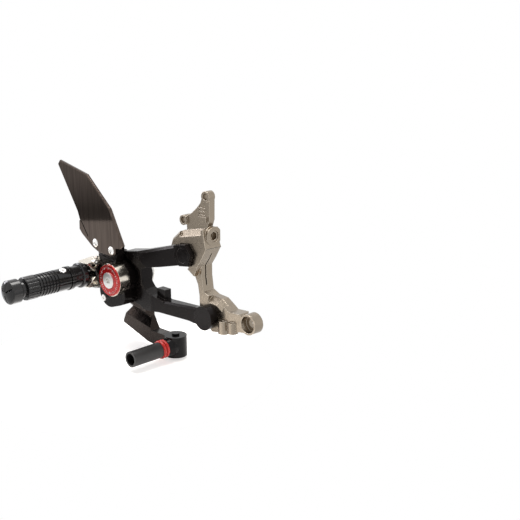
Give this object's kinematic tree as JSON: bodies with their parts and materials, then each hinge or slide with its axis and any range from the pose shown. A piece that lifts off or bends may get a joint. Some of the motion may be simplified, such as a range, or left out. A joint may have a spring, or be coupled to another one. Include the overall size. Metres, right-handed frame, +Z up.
{
  "type": "motorcycle rear set footrest",
  "caption": "Motorcycle rear set for the brake side: grey hanger, black bracket, folding footpeg, heel guard and a sprung brake lever with a folding toe peg.",
  "frame": {"origin": "centre of the lower frame bore at the face that meets the motorcycle's frame", "axes": "+X to the front wheel, -Y outboard towards the rider's foot, +Z up"},
  "size_m": [0.262, 0.158, 0.1908],
  "materials": {
    "grey_anodised": "fine satin anodised, grey with a bronze cast",
    "black_anodised": "satin black anodised",
    "lever_anodised": "satin black anodised, a little browner",
    "bright_aluminium": "turned and clear anodised",
    "gloss_black": "gloss black anodised and sealed",
    "red_anodised": "gloss red anodised",
    "guard_weave": "fine woven sheet under a satin lacquer",
    "steel": "plain steel, lightly polished",
    "zinc": "bright zinc plated",
    "bronze": "plain bearing bronze",
    "spring_steel": "drawn wire",
    "tube_black": "dull black coating",
    "ring_rubber": "red silicone rubber"
  },
  "bodies": {
    "bracket": {"hanger": "grey_anodised", "boss_plug": "grey_anodised", "main_bracket": "black_anodised", "upper_cap": "black_anodised", "upper_bolt": "steel", "lower_bolt": "steel", "stop_pin": "steel", "peg_carrier": "black_anodised", "carrier_screw": "zinc", "hub_drum": "bright_aluminium", "hub_ring": "red_anodised", "pivot_bolt": "zinc", "pivot_bush": "bronze", "spring_plate": "steel", "pivot_nut": "zinc", "return_spring": "spring_steel", "peg_fork": "bright_aluminium", "fork_screws": "steel", "lock_screw": "zinc", "fold_pin": "zinc", "fold_clip": "spring_steel", "heel_guard": "guard_weave", "guard_screws": "zinc"},
    "footpeg": {"peg_tongue": "gloss_black", "tongue_bush": "bronze", "peg_sleeve": "gloss_black", "peg_screw": "zinc", "peg_knob": "gloss_black", "fold_spring": "spring_steel"},
    "brake_lever": {"lever_arm": "lever_anodised", "lever_sleeve": "bronze", "toe_pin": "zinc", "toe_clip": "spring_steel", "toe_washer": "spring_steel"},
    "toe_peg": {"toe_knuckle": "gloss_black", "toe_tube": "tube_black", "toe_rings": "ring_rubber", "toe_bolt": "zinc"}
  },
  "joints": [
    {"name": "footpeg_fold", "type": "hinge", "parent": "bracket", "child": "footpeg", "pos_m": [-0.198, -0.036, 0.018], "axis": [0, 0, -1], "range_deg": [0, 75], "stiffness_Nm_per_rad": 0.25, "springref_deg": -20.05},
    {"name": "lever_pivot", "type": "hinge", "parent": "bracket", "child": "brake_lever", "pos_m": [-0.165, -0.0045, 0.0165], "axis": [0, 1, 0], "range_deg": [0, 12], "stiffness_Nm_per_rad": 2, "springref_deg": -11.46},
    {"name": "toe_peg_fold", "type": "hinge", "parent": "brake_lever", "child": "toe_peg", "pos_m": [-0.106, -0.008, -0.0475], "axis": [0, 0, -1], "range_deg": [0, 45]}
  ]
}
